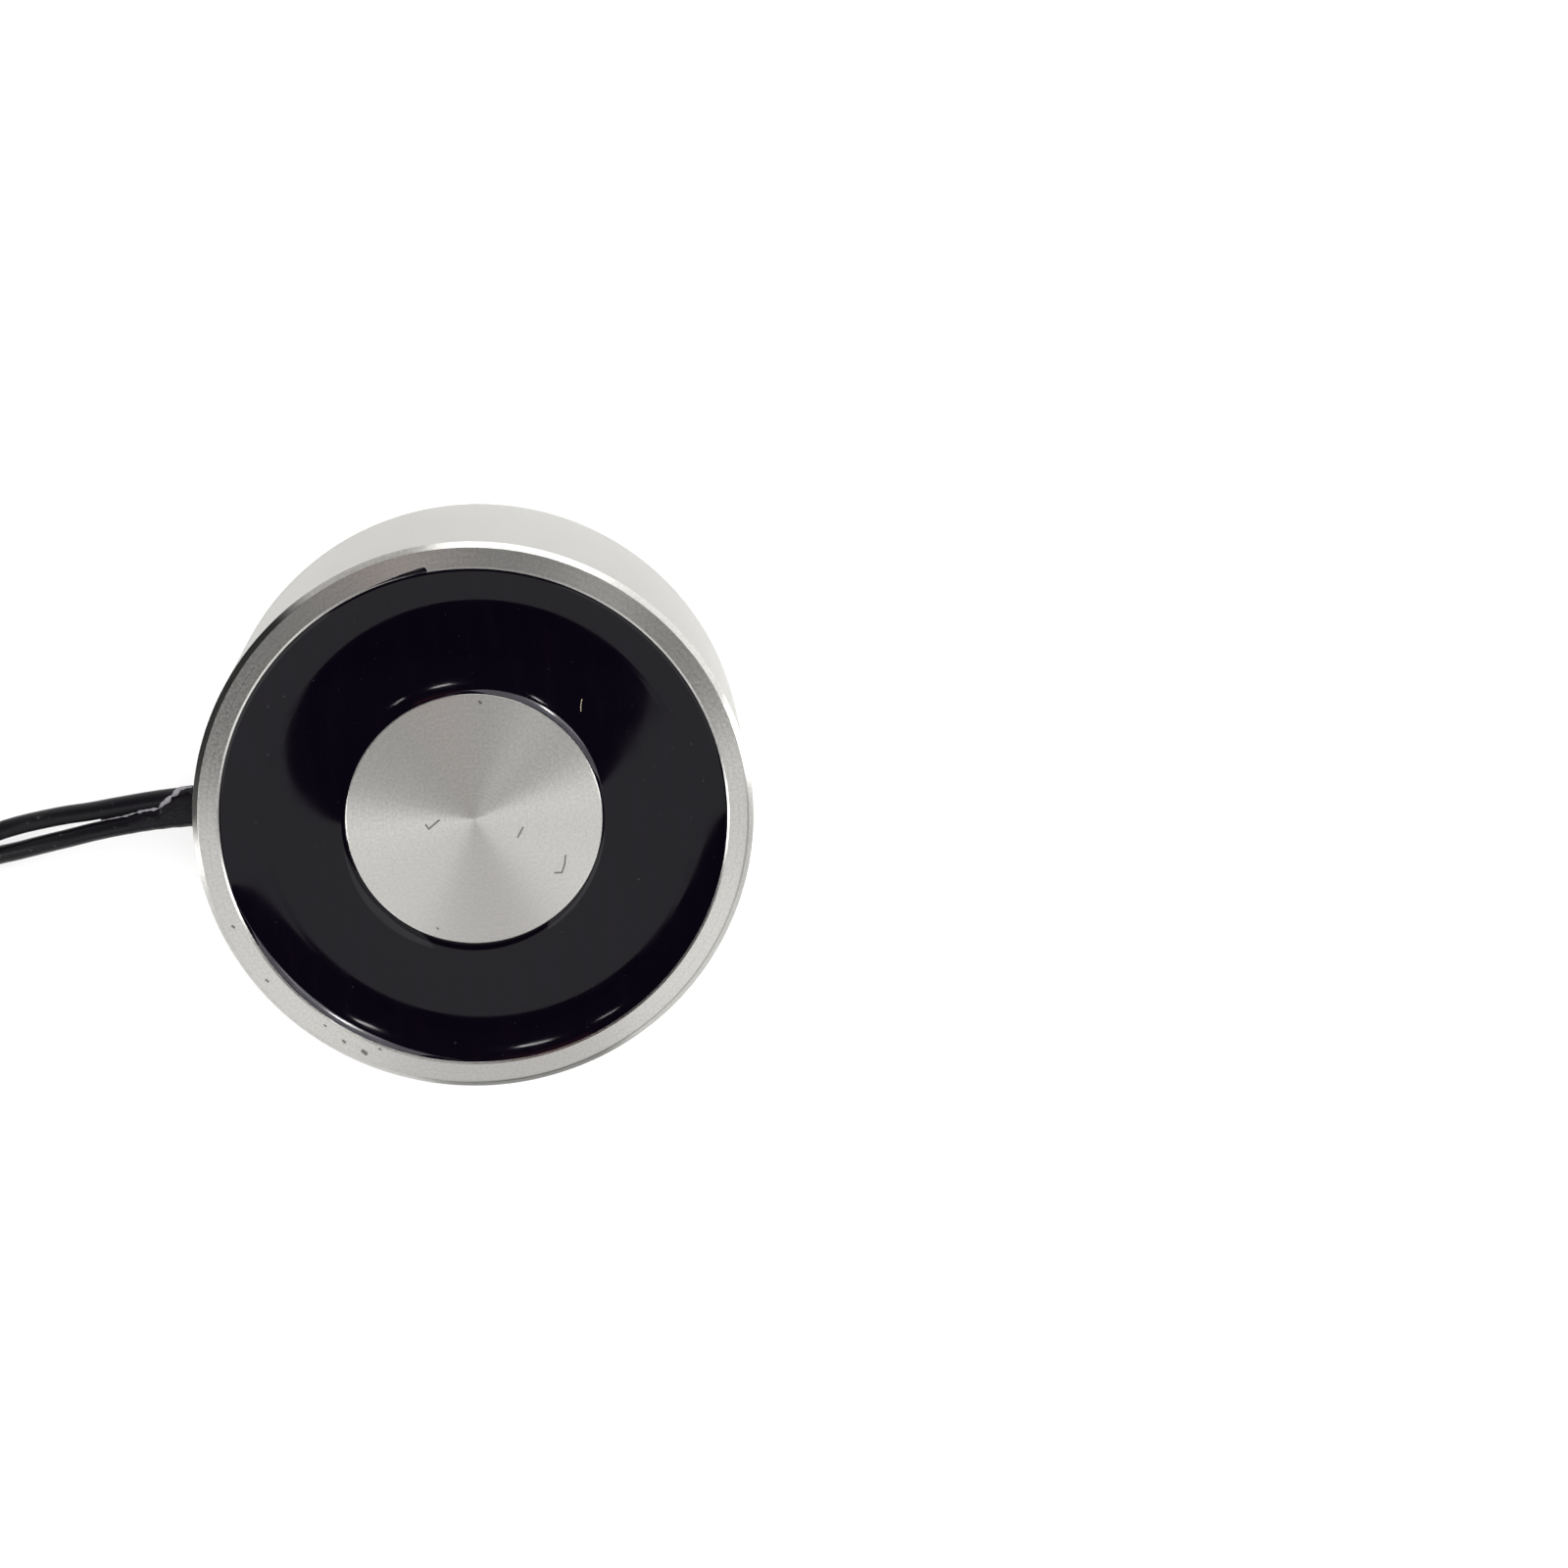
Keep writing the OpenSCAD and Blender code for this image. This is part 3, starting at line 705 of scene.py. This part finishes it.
def film_sheet(size, potting, edge, way, start, end, drop):
    """Film of potting along a steel edge: a slope away from the edge that fades at both ends.

    Across the film z falls from the edge to the potted face as u (1 + 0.2 (u - 1)), u from 0 to 1.
    """
    rows, columns, proud, sunk = 160, 12, 0.004 * MM, 0.03 * MM
    share = np.linspace(0, 1, rows)
    turn = start + (end - start) * share
    width = potting.film_width * np.clip(np.sin(np.pi * share), 0, 1) ** 0.7
    across = np.linspace(0, 1, columns)
    r = edge + way * (potting.film_gap + np.outer(width, across))
    foot = dish_height(size, potting, r[:, -1], turn)
    crest = np.maximum(foot, size.height - drop - 0.3 * potting.dish_depth * (1 - width / width.max()))
    fall = across * (1 + 0.2 * (across - 1))
    z = crest[:, None] + (foot - crest)[:, None] * fall + proud
    upper = polar(r, turn[:, None], z)
    under = polar(r, turn[:, None], dish_height(size, potting, r, turn[:, None]) - sunk)
    return capped(np.concatenate((upper, under[:, ::-1]), axis=1))


def smear_sheet(size, potting):
    """Thin tongue of potting on the rim, which widens towards its torn end."""
    rows, from_bore, sunk, depth = 40, 0.1 * MM, 0.005 * MM, 0.1 * MM
    share = np.linspace(0, 1, rows)
    turn = potting.smear_start + (potting.smear_end - potting.smear_start) * share
    width = potting.smear_width * share ** 1.5 * np.where(share > 0.97, (1 - share) / 0.03, 1)
    across = np.array((-0.3, 0.0, 0.5, 0.9, 1.0))
    rise = np.array((0.0, 1.0, 1.0, 0.7, 0.0))
    r = size.bore_r + from_bore + np.outer(width, across)
    z = size.height + potting.smear_height * (rise[None] * np.minimum(1, 8 * share)[:, None]) - sunk
    top = polar(r, turn[:, None], z)
    under = polar(r, turn[:, None], size.height - depth)
    return capped(np.concatenate((top, under[:, ::-1]), axis=1))


# Points in millimetres that the stray fibre passes on the potted face
FIBRE = ((8.2, 7.2), (8.22, 7.6), (8.34, 8.1))


def fibre_tube(size, potting):
    """Stray fibre just above the potted face."""
    flat = np.array(FIBRE) * MM
    r, turn = np.linalg.norm(flat, axis=1), np.arctan2(flat[:, 1], flat[:, 0])
    heights = dish_height(size, potting, r, turn) + 2 * potting.fibre_r
    line = curve_through(np.concatenate((flat, heights[:, None]), axis=1), 0.05 * MM)
    return tube(line, potting.fibre_r, 8)


def inside_path(size, leads, body, side):
    """Way of a lead behind the rim: along the channel, round its bend and out along the hole."""
    bend_y = size.lead_pitch / 2 + leads.bend_r
    bend_x = np.sqrt((size.channel_r + leads.bend_r) ** 2 - bend_y ** 2)
    lean = np.arctan(bend_y / bend_x)
    run = np.linspace(lean + leads.channel_run, lean, 13)
    channel = polar(size.channel_r, np.pi - side * run, body.hole_z)
    turn = np.linspace(-lean, -np.pi / 2, 13)[1:]
    bend = polar(leads.bend_r, side * turn, body.hole_z) + (-bend_x, side * bend_y, 0)
    return np.concatenate((channel, bend))


# Points in millimetres that the leads follow from the seal to the coil
ROUTE_A = ((-27, 0.3, 7.75), (-29, 0, 7.35), (-31, -0.25, 6.85), (-33, -0.6, 6.3), (-35, -1.05, 5.7),
           (-37, -1.65, 5.3), (-39, -2.75, 5.2), (-40.5, -3.9, 4.95))
ROUTE_B = ((-27, -1.25, 7.7), (-29, -1.6, 7.3), (-31, -2.05, 6.8), (-33, -2.5, 6.2), (-35, -3, 5.5),
           (-37, -3.45, 4.75), (-39, -4, 3.9), (-40.5, -4.55, 3.15))
COIL_CENTRE = np.array((-51, 3.6, 0)) * MM
TURN_STEP = np.radians(9)


def coil_path(size, leads, layer, leave):
    """Way of a lead from its last straight stretch round the coil and off into its middle.

    The turns are a spiral r = R - d (a0 - a) / 360 deg, and the last bend is an arc tangent to it.
    """
    outer = leads.turns_d / 2 + leads.turns * size.lead_r
    inner = leads.turns_d / 2 - leads.turns * size.lead_r - size.lead_r
    height = leads.tie_t + size.lead_r + layer * leads.layer_rise
    start = leads.join_angle
    way = polar(np.cos(leads.join_slope), start + np.pi / 2, np.sin(leads.join_slope))
    corner = COIL_CENTRE + polar(outer, start, height)
    join = corner + np.outer((7 / 6, 1, 0.75, 0.5, 0.25), way) * leads.join_l
    part = start - leave
    total = part + 2 * np.pi * round(leads.turns - part / (2 * np.pi))
    turn = start - np.linspace(0, total, int(total / TURN_STEP))
    r = outer - leads.lead_d * (start - turn) / (2 * np.pi)
    spiral = COIL_CENTRE + polar(r, turn, height)
    centre_r = r[-1] - leads.leave_r
    sweep = np.arccos((inner ** 2 - leads.leave_r ** 2 - centre_r ** 2) / (2 * leads.leave_r * centre_r))
    bend = turn[-1] - np.linspace(0, sweep, 12)[1:]
    last = COIL_CENTRE + polar(centre_r, turn[-1], 0) + polar(leads.leave_r, bend, height)
    return np.concatenate((join, spiral, last))


# Share of a lead's radius that is drawn, so that turns side by side stay apart
SKIN_FIT = 0.997


def lead_ways(leads):
    """Name, side, route, layer in the coil and leaving angle of each lead."""
    return (("lead_a", 1, ROUTE_A, 1, leads.leave_second), ("lead_b", -1, ROUTE_B, 0, leads.leave_first))


def lead_path(size, leads, body, side, route, layer, leave):
    """Whole way of a lead, and the point where it leaves the rim."""
    inside = inside_path(size, leads, body, side)
    y, z = side * size.lead_pitch / 2, body.hole_z
    outward = size.body_r + leads.seal_reach * np.array((0, 0.2, 0.4))
    straight = np.stack((-outward, np.full(3, y), np.full(3, z)), axis=1)
    free = np.concatenate((straight, np.array(route) * MM, coil_path(size, leads, layer, leave)))
    outside = curve_through(free, 0.35 * MM)
    return np.concatenate((inside, outside)), outside[0]


# The seal's torn edge: distance from the rim in millimetres, and how far the skin reaches the upper lead
TORN_EDGE = ((0, 1), (1.4, 1), (2.1, 0.96), (2.85, 0.915), (3.4, 0.66), (3.8, 0.2), (4.4, 0.22), (5, 0.24),
             (5.3, 0.18), (6.2, 0.06))
# Thickness of the tear's lip in millimetres, by distance from the rim
LIP = ((1.2, 0.03), (1.8, 0.16), (3, 0.17), (4, 0.13), (5, 0.17), (5.6, 0.08), (7.5, 0.04), (8.8, 0.02))
TEAR_SIDES = 12


def seal_lines(size, leads, paths, out):
    """Centres of both leads and of the skin's upper round, and its radius, at distances from the rim."""
    farthest, centres = 35 * MM, []
    for path in paths:
        x, y, z = path[path[:, 0] > -farthest].T
        centres.append(np.stack([np.interp(size.body_r + out, -x, along) for along in (y, z)], axis=1))
    upper, lower = centres
    torn = np.array(TORN_EDGE)
    share = np.interp(out / MM, torn[:, 0], torn[:, 1])[:, None]
    reach = size.lead_r + leads.seal_skin * np.clip(1.05 - out / leads.seal_reach, 0.1, 1)
    return upper, lower, lower + (upper - lower) * share, reach


def seal_sheet(size, leads, body, paths):
    """Seal from the bore to its torn end: a plug in the hole, then a skin that slants off the upper lead.

    Each section of the skin is two half circles, one on the lower lead and one on the way to the upper.
    """
    rows, columns, clearance = 140, 72, 0.005 * MM
    out = np.linspace(size.bore_r - size.body_r, TORN_EDGE[-1][0] * MM, rows)
    upper, lower, top, reach = seal_lines(size, leads, paths, out)
    turn = full_turn(columns)
    across = unit(upper - lower)
    square = np.stack((-across[:, 1], across[:, 0]), axis=1)
    ring = np.cos(turn)[None, :, None] * across[:, None] + np.sin(turn)[None, :, None] * square[:, None]
    folds = 1 + 0.012 * np.sin(3 * turn[None] + 5 * out[:, None] / MM) * np.clip(out / MM, 0, 1)[:, None]
    section = np.where(np.cos(turn)[None, :, None] > 0, top[:, None], lower[:, None])
    section = section + ring * (reach[:, None] * folds)[..., None]
    plug = np.clip(1 - out / (0.5 * MM), 0, 1)[:, None, None] ** 2
    mouth = np.array((0, body.hole_z)) + ring * (body.hole_r - clearance)
    section = section + (mouth - section) * plug
    x = np.repeat(-(size.body_r + out)[:, None], columns, axis=1)
    return capped(np.concatenate((x[..., None], section), axis=-1))


def torn_lip(size, leads, paths):
    """Raised edge of the tear, a tube along the line where the skin's upper round meets the upper lead."""
    rows, lip = 150, np.array(LIP)
    out = np.linspace(lip[0, 0], lip[-1, 0], rows) * MM
    upper, _, top, reach = seal_lines(size, leads, paths, out)
    apart = np.maximum(np.linalg.norm(upper - top, axis=1), 0.05 * MM)
    meet = (apart ** 2 + reach ** 2 - size.lead_r ** 2) / (2 * apart)
    meet = np.minimum(meet, 0.93 * reach)
    rise = np.sqrt(reach ** 2 - meet ** 2)
    line = np.stack((-(size.body_r + out), top[:, 0] + meet, top[:, 1] + rise), axis=1)
    knots = 1 + 0.3 * np.sin(out / MM * 6.3) + 0.25 * np.sin(out / MM * 11)
    return tube(line, np.interp(out / MM, lip[:, 0], lip[:, 1]) * MM * knots, TEAR_SIDES)


def lead_web(size, leads, paths):
    """Thin web of sealant left between the leads."""
    rows = 60
    out = np.linspace(0.4, 1.66, rows) * leads.seal_reach
    upper, lower, _, _ = seal_lines(size, leads, paths, out)
    line = np.concatenate((-(size.body_r + out)[:, None], (upper + lower) / 2), axis=1)
    return tube(line, np.linspace(0.3, 0.1, rows) * MM, TEAR_SIDES)


# Operators, one for each piece or group of like pieces

class MAGNET_OT_stage(bpy.types.Operator):
    """Set up the camera, the pale floor and the soft studio light"""

    bl_idname = "magnet.stage"
    bl_label = "Stage"

    def execute(self, context):
        stage = context.scene.magnet.stage
        camera = link_object("camera", bpy.data.cameras.new("camera"))
        camera.data.lens = stage.lens
        camera.data.clip_start = 0.01
        turn = Matrix((stage.right, stage.up, stage.back)).transposed()
        camera.matrix_world = Matrix.Translation(stage.place) @ turn.to_4x4()
        context.scene.camera = camera
        self.add_floor(stage)
        self.add_lights(stage)
        self.add_world(context)
        context.scene.view_settings.view_transform = "Standard"
        return {"FINISHED"}

    def add_floor(self, stage):
        """Pale floor just under the magnet."""
        line = np.linspace(-stage.floor_size / 2, stage.floor_size / 2, 3)
        x, y = np.meshgrid(line, line, indexing="ij")
        level = np.full_like(x, -stage.floor_drop)
        floor = build_piece("floor", [(np.stack((x, y, level), axis=-1), False)])
        dress(floor, matt_material("pale_floor", (0.9, 0.9, 0.9)))

    def add_lights(self, stage):
        """Light on the floor, and panels with a card among them that only reflections show."""
        self.add_sky(stage, "sky", stage.floor_light, True)
        self.add_sky(stage, "fill", stage.fill_light, False)
        self.add_panel("ceiling", (0.012, -0.3364, 0.6), (1.0, 0.45), 1.2, level=True, turn=np.radians(5))
        self.add_panel("back_box", (0.13, 0.48, 0.14), (0.4, 0.12), 6.0)
        self.add_panel("corner_box", (0.25, 0.24, 0.41), (0.6, 0.05), 1.2)
        self.add_panel("corner_core", (0.24, 0.23, 0.394), (0.05, 0.02), 26.0)
        self.add_panel("warm_box", (-0.13, 0.28, 0.6), (0.15, 0.15), 0.6, tint=(1, 0.25, 0.22))
        self.add_panel("right_box", (0.44, 0.0, 0.2), (0.12, 0.1), 24.0)
        self.add_panel("left_box", (-0.42, -0.075, 0.16), (0.12, 0.1), 20.0)
        self.add_panel("low_box", (0.41, 0.285, 0.08), (0.36, 0.09), 3.0)
        self.add_panel("right_fill", (0.27, -0.35, 0.35), (0.3, 0.3), 1.4)
        self.add_panel("left_fill", (-0.3, -0.35, 0.35), (0.3, 0.3), 0.9)
        self.add_panel("right_lamp", (0.08, 0.04, 0.6), (0.02, 0.01), 30.0, level=True)
        self.add_panel("left_lamp", (-0.062, 0.07, 0.6), (0.028, 0.01), 30.0, level=True)
        self.add_panel("side_lamp", (-0.13, 0.05, 0.6), (0.02, 0.01), 14.0, level=True)
        self.add_card("dark_card", (-0.032, -0.078, 0.59), 0.05)

    def add_sky(self, stage, name, strength, shadow):
        """Even light from above that no reflection shows."""
        sky = link_object(name, bpy.data.lights.new(name, "SUN"))
        sky.data.energy = strength
        sky.data.angle = stage.sky_width
        sky.data.use_shadow = shadow
        sky.rotation_euler = Vector(stage.sky_from).to_track_quat("Z", "Y").to_euler()
        sky.visible_glossy = False

    def add_panel(self, name, place, size, radiance, level=False, turn=0.0, tint=(1, 1, 1)):
        """Rectangular light seen only in reflections; power = radiance pi area.

        A level one faces straight down, any other faces the magnet.
        """
        light = bpy.data.lights.new(name, "AREA")
        light.color = tint
        light.shape = "RECTANGLE"
        light.size, light.size_y = size
        light.energy = radiance * np.pi * size[0] * size[1]
        panel = link_object(name, light)
        panel.location = place
        way = Vector((0, 0, -1)) if level else Vector((0, 0, BODY_HIGH[2])) - Vector(place)
        panel.rotation_euler = way.to_track_quat("-Z", "Y").to_euler()
        panel.rotation_euler.rotate_axis("Z", turn)
        panel.visible_camera = False
        panel.visible_diffuse = False

    def add_card(self, name, place, radius):
        """Black disc seen only in reflections."""
        disc = spin(((0, 0), (radius, 0)), full_turn(48))
        card = build_piece(name, [(disc + place, True)])
        dress(card, matt_material("black_card", (0, 0, 0)))
        card.visible_camera = False
        card.visible_diffuse = False

    def add_world(self, context):
        """Studio walls: bright at the horizon and dark overhead."""
        world = bpy.data.worlds.new("studio")
        context.scene.world = world
        world.use_nodes = True
        tree = world.node_tree
        where = tree.nodes.new("ShaderNodeTexCoord")
        parts = tree.nodes.new("ShaderNodeSeparateXYZ")
        level = tree.nodes.new("ShaderNodeMapRange")
        for label, value in zip(("From Min", "From Max", "To Min", "To Max"), (0.2, 0.55, 0.7, 0.02)):
            level.inputs[label].default_value = value
        tree.links.new(where.outputs["Generated"], parts.inputs[0])
        tree.links.new(parts.outputs["Z"], level.inputs["Value"])
        tree.links.new(level.outputs[0], tree.nodes["Background"].inputs["Strength"])
        tree.nodes["Background"].inputs["Color"].default_value = (1, 1, 1, 1)


class MAGNET_OT_leads(bpy.types.Operator):
    """Draw the two leads from their joints behind the rim to the bare ends in the coil"""

    bl_idname = "magnet.leads"
    bl_label = "Leads"

    def execute(self, context):
        settings = context.scene.magnet
        size, leads, body = Dimensions(settings), settings.leads, settings.body
        material = rubbery_material("black_insulation", settings.colours.lead, roughness=0.36, grain=3.0,
                                    depth=0.02)
        for name, side, route, layer, leave in lead_ways(leads):
            path, way_out = lead_path(size, leads, body, side, route, layer, leave)
            skin = tube(path, SKIN_FIT * size.lead_r, leads.sides)
            piece = add_part(f"{name}_insulation", [(skin, True)], material, "lead", name, "lead_coil")
        return {"FINISHED"}


class MAGNET_OT_body(bpy.types.Operator):
    """Draw the turned steel pot and its mounting thread"""

    bl_idname = "magnet.body"
    bl_label = "Body"

    def execute(self, context):
        settings = context.scene.magnet
        size = Dimensions(settings)
        steel = steel_material(settings.colours.steel)
        add_part("steel_pot", pot_sheets(size, settings.body), steel, "steel", "magnet_body")
        add_part("mounting_thread", [(thread_sheet(settings.body), True)], steel, "steel")
        return {"FINISHED"}


class MAGNET_OT_potting(bpy.types.Operator):
    """Draw the dished potting, its film on the steel edges, its smear on the rim and a stray fibre"""

    bl_idname = "magnet.potting"
    bl_label = "Potting"

    def execute(self, context):
        settings = context.scene.magnet
        size, potting = Dimensions(settings), settings.potting
        epoxy = potting_material("black_epoxy", settings.colours.potting, gloss=0.19, roughness=0.045)
        # The film's lighter colour is partly a painted sheen.
        thin = potting_material("thin_epoxy_and_painted_sheen", settings.colours.film, gloss=1.0, roughness=0.1)
        pole_film = film_sheet(size, potting, size.pole_r, 1, potting.pole_film_start,
                               potting.pole_film_end, potting.pole_film_drop)
        rim_film = film_sheet(size, potting, size.bore_r, -1, potting.rim_film_start,
                              potting.rim_film_end, potting.rim_film_drop)
        add_part("potting_film", [(pole_film, True), (rim_film, True)], thin, "potting")
        face = potting_sheet(size, potting, settings.body.columns)
        add_part("potted_face", [(face, True)], epoxy, "potting", "potting_compound")
        add_part("potting_smear", [(smear_sheet(size, potting), True)], epoxy, "potting")
        pale = plain_material("pale_fibre", settings.colours.fibre, roughness=0.7)
        add_part("stray_fibre", [(fibre_tube(size, potting), True)], pale, "potting")
        return {"FINISHED"}


class MAGNET_OT_seal(bpy.types.Operator):
    """Draw the torn seal where the leads leave the rim"""

    bl_idname = "magnet.seal"
    bl_label = "Seal"

    def execute(self, context):
        settings = context.scene.magnet
        size, leads, body = Dimensions(settings), settings.leads, settings.body
        paths = [lead_path(size, leads, body, *way[1:])[0] for way in lead_ways(leads)]
        sealant = rubbery_material("black_sealant", settings.colours.sealant, roughness=0.34, grain=4.0,
                                   depth=0.05)
        sheets = [(seal_sheet(size, leads, body, paths), True), (lead_web(size, leads, paths), True)]
        add_part("torn_seal", sheets, sealant, "sealant", "lead_exit_seal")
        # The lip's pale colour is a painted highlight.
        tear = rubbery_material("tear_painted_highlight", settings.colours.tear, roughness=0.4, grain=6.0, depth=0.03)
        add_part("torn_lip", [(torn_lip(size, leads, paths), True)], tear, "sealant")
        return {"FINISHED"}


class MAGNET_OT_inside(bpy.types.Operator):
    """Give the parts that keep their solids their materials"""

    bl_idname = "magnet.inside"
    bl_label = "Inside parts"

    def execute(self, context):
        colours = context.scene.magnet.colours
        wire = wound_material(colours.copper)
        tinned = plain_material("tinned_metal", colours.solder, roughness=0.3, metallic=1.0)
        sleeve = plain_material("shrunk_tube", colours.sleeve, roughness=0.5)
        finishes = {
            "coil_bobbin": plain_material("moulded_nylon", colours.bobbin, roughness=0.45),
            "coil_winding": wire, "coil_start_tail": wire, "coil_finish_tail": wire,
            "coil_tape": plain_material("amber_film", colours.tape, roughness=0.3),
            "solder_joint_start": tinned, "solder_joint_finish": tinned,
            "joint_sleeve_start": sleeve, "joint_sleeve_finish": sleeve,
            "lead_tie": plain_material("white_band", colours.tie, roughness=0.4),
            "lead_a_tinned_end": tinned, "lead_b_tinned_end": tinned,
        }
        for node, material in finishes.items():
            dress(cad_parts[node], material)
        return {"FINISHED"}


class MAGNET_PT_panel(bpy.types.Panel):
    """Sidebar panel that lists the magnet's steps"""

    bl_idname = "MAGNET_PT_panel"
    bl_label = "Holding electromagnet"
    bl_space_type = "VIEW_3D"
    bl_region_type = "UI"
    bl_category = "Magnet"

    def draw(self, context):
        for step in STEPS:
            self.layout.operator(step.bl_idname)


STEPS = (MAGNET_OT_stage, MAGNET_OT_leads, MAGNET_OT_body, MAGNET_OT_potting, MAGNET_OT_seal,
         MAGNET_OT_inside)
CLASSES = (BodySizes, PottingSizes, LeadSizes, Colours, StageSizes, MagnetSettings, *STEPS,
           MAGNET_PT_panel)


def register():
    """Add the classes and the scene's settings."""
    for item in CLASSES:
        bpy.utils.register_class(item)
    bpy.types.Scene.magnet = PointerProperty(type=MagnetSettings)


def unregister():
    """Take the settings and the classes away."""
    del bpy.types.Scene.magnet
    for item in reversed(CLASSES):
        bpy.utils.unregister_class(item)


def main():
    """Draw the magnet on its stage."""
    register()
    for step in STEPS:
        group, name = step.bl_idname.split(".")
        getattr(getattr(bpy.ops, group), name)()


if __name__ == "__main__":
    main()
